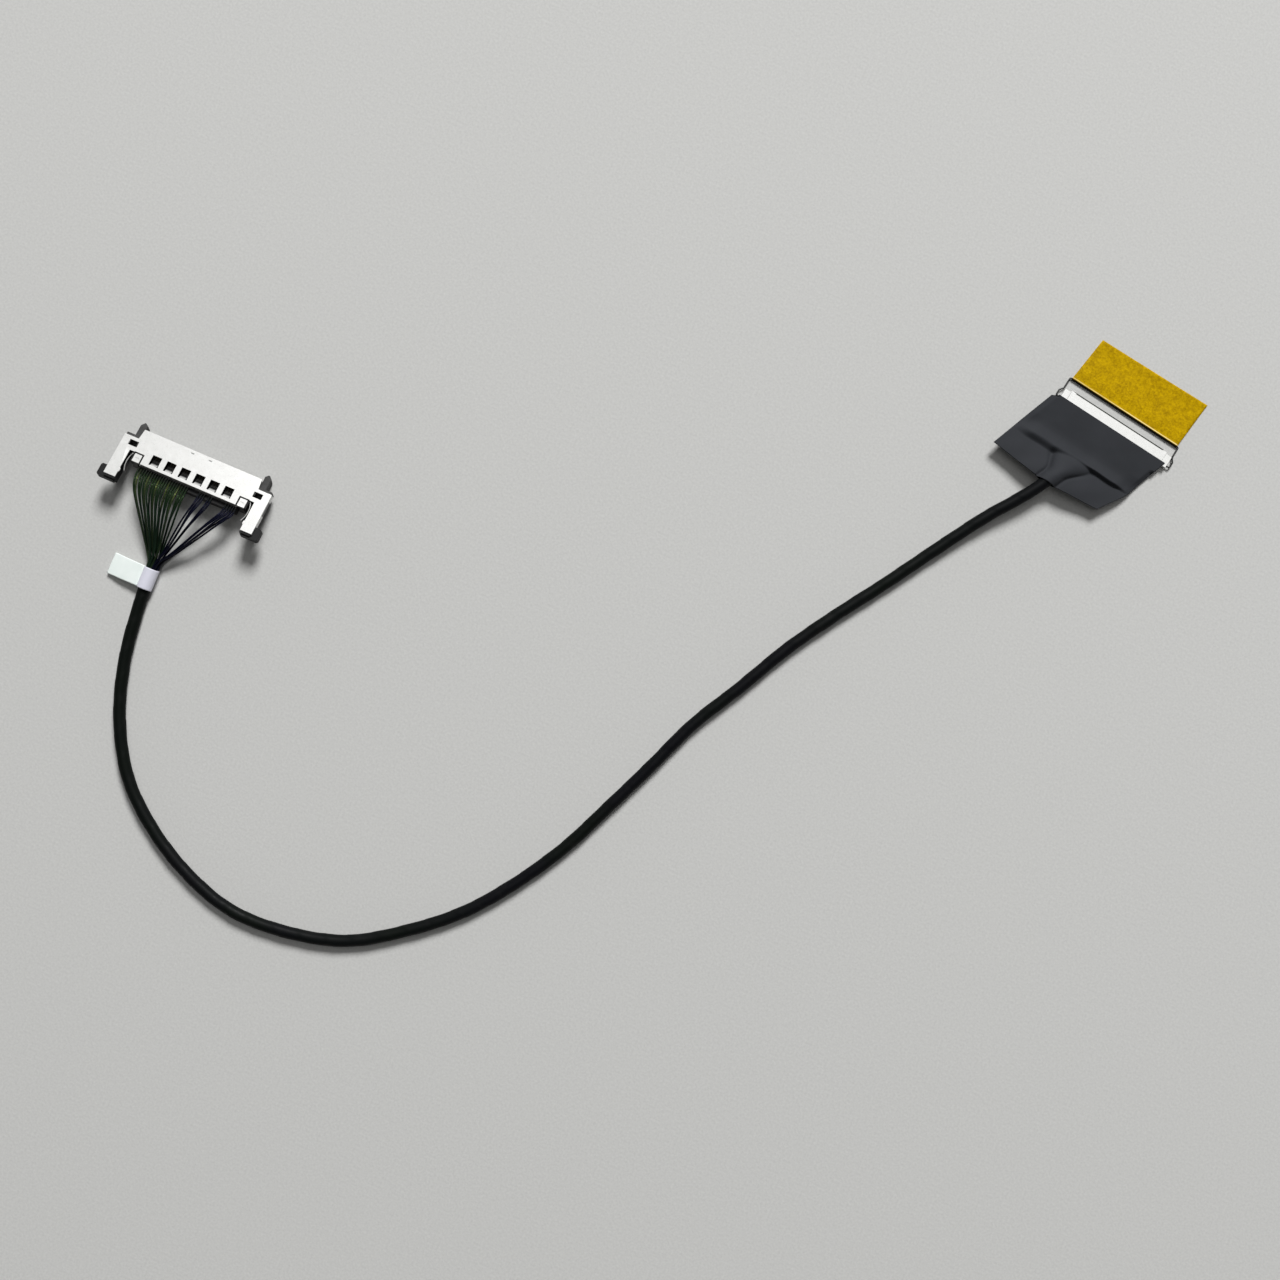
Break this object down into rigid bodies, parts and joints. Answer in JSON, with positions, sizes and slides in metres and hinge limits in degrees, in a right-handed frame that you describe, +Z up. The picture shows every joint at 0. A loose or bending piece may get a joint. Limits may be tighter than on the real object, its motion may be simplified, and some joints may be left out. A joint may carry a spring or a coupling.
{
  "type": "display cable assembly",
  "caption": "Round wrapped bundle of thin coaxial wires between a metal-shelled board plug with side arms and a thin panel plug with a wire pull bar and film tab.",
  "frame": {"origin": "middle of the assembly's footprint on the surface that it lies on, measured without the round cable", "axes": "+X along the board plug's width towards the panel plug, +Y the way the board plug mates, +Z up from the surface"},
  "size_m": [0.1911, 0.1686, 0.0058],
  "materials": {
    "shell_metal": "satin tin plating",
    "plug_plastic": "moulded, dark grey",
    "contact_metal": "gold flash",
    "ground_metal": "satin",
    "green_jacket": "thin extruded jacket",
    "blue_jacket": "thin extruded jacket",
    "label_film": "white printed film, left bare",
    "sheath_wrap": "black wrapped tape",
    "cover_cloth": "black cloth tape",
    "bar_wire": "drawn steel wire",
    "pull_film": "amber polyimide film"
  },
  "bodies": {
    "cable": {"board_plug_housing": "plug_plastic", "board_plug_top_shell": "shell_metal", "board_plug_bottom_shell": "shell_metal", "board_plug_contacts": "contact_metal", "board_plug_ground_bar_upper": "ground_metal", "board_plug_ground_bar_lower": "ground_metal", "lock_spring_left": "shell_metal", "lock_spring_right": "shell_metal", "green_wire_01": "green_jacket", "green_wire_02": "green_jacket", "green_wire_03": "green_jacket", "green_wire_04": "green_jacket", "green_wire_05": "green_jacket", "green_wire_06": "green_jacket", "green_wire_07": "green_jacket", "green_wire_08": "green_jacket", "green_wire_09": "green_jacket", "green_wire_10": "green_jacket", "green_wire_11": "green_jacket", "green_wire_12": "green_jacket", "green_wire_13": "green_jacket", "green_wire_14": "green_jacket", "green_wire_15": "green_jacket", "green_wire_16": "green_jacket", "green_wire_17": "green_jacket", "green_wire_18": "green_jacket", "green_wire_19": "green_jacket", "green_wire_20": "green_jacket", "green_wire_21": "green_jacket", "blue_wire_01": "blue_jacket", "blue_wire_02": "blue_jacket", "blue_wire_03": "blue_jacket", "blue_wire_04": "blue_jacket", "blue_wire_05": "blue_jacket", "blue_wire_06": "blue_jacket", "blue_wire_07": "blue_jacket", "blue_wire_08": "blue_jacket", "blue_wire_09": "blue_jacket", "blue_wire_10": "blue_jacket", "label_flag": "label_film", "cable_sheath": "sheath_wrap", "panel_plug_housing": "plug_plastic", "panel_plug_top_shell": "shell_metal", "panel_plug_bottom_shell": "shell_metal", "panel_plug_contacts": "contact_metal", "panel_plug_ground_bar_upper": "ground_metal", "panel_plug_ground_bar_lower": "ground_metal", "panel_wire_fan": "blue_jacket", "top_tape": "cover_cloth", "bottom_tape": "cover_cloth"},
    "pull_bar": {"pull_bar": "bar_wire", "pull_tape": "pull_film"}
  },
  "joints": [
    {"name": "pull_bar_hinge", "type": "hinge", "parent": "cable", "child": "pull_bar", "pos_m": [0.08064, 0.04293, 0.0006], "axis": [0.9848, -0.1736, 0], "range_deg": [0, 90]}
  ]
}
